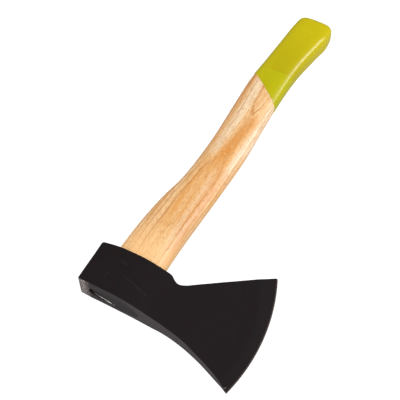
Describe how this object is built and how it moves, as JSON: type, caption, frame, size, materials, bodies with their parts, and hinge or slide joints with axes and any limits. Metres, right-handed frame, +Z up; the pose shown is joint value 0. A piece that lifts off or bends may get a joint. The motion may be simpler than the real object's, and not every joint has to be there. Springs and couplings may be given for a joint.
{
  "type": "hatchet",
  "caption": "Small one-handed hatchet: painted forged head with a flared bit, wedged on a curved wooden haft with a dipped coat on its grip end.",
  "frame": {"origin": "centre of the bottom of the bounding box, the hatchet lying on its side", "axes": "+Y along the haft towards the grip, +X from the poll towards the cutting edge, +Z up, square to the cheeks"},
  "size_m": [0.169, 0.3772, 0.0326],
  "materials": {
    "black_paint": "matte black paint on a forged steel head",
    "ash_wood": "pale ash with a clear satin lacquer",
    "green_coat": "glossy yellow-green dipped coat",
    "wedge_wood": "plain hardwood, its end painted with the head",
    "wedge_steel": "mill finish, its end painted with the head"
  },
  "bodies": {
    "root": {"axe_head": "black_paint", "haft": "ash_wood", "dip_coat": "green_coat", "wood_wedge": "wedge_wood", "steel_wedge": "wedge_steel"}
  },
  "joints": []
}
